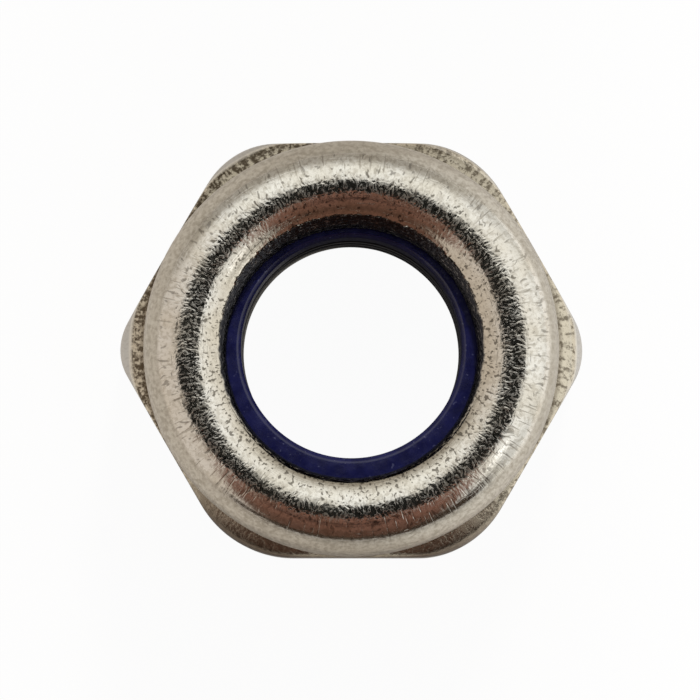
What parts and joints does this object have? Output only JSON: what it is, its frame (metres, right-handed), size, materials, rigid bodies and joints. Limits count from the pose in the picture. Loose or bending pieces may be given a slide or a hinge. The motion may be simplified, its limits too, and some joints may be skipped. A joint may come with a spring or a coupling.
{
  "type": "lock nut",
  "caption": "Hexagon lock nut with a collar rolled over a nylon ring, which grips the bolt's thread so that the nut doesn't shake loose.",
  "frame": {"origin": "centre of the bearing face", "axes": "+Z along the bore, from the bearing face to the collar; +X through a corner of the hexagon, +Y square to a flat"},
  "size_m": [0.0142, 0.013, 0.008],
  "materials": {
    "steel": "bright stainless, burnished on the rolled lip and dull outside it",
    "nylon": "navy nylon with a soft sheen"
  },
  "bodies": {
    "root": {"nut_body": "steel", "nylon_insert": "nylon"}
  },
  "joints": []
}
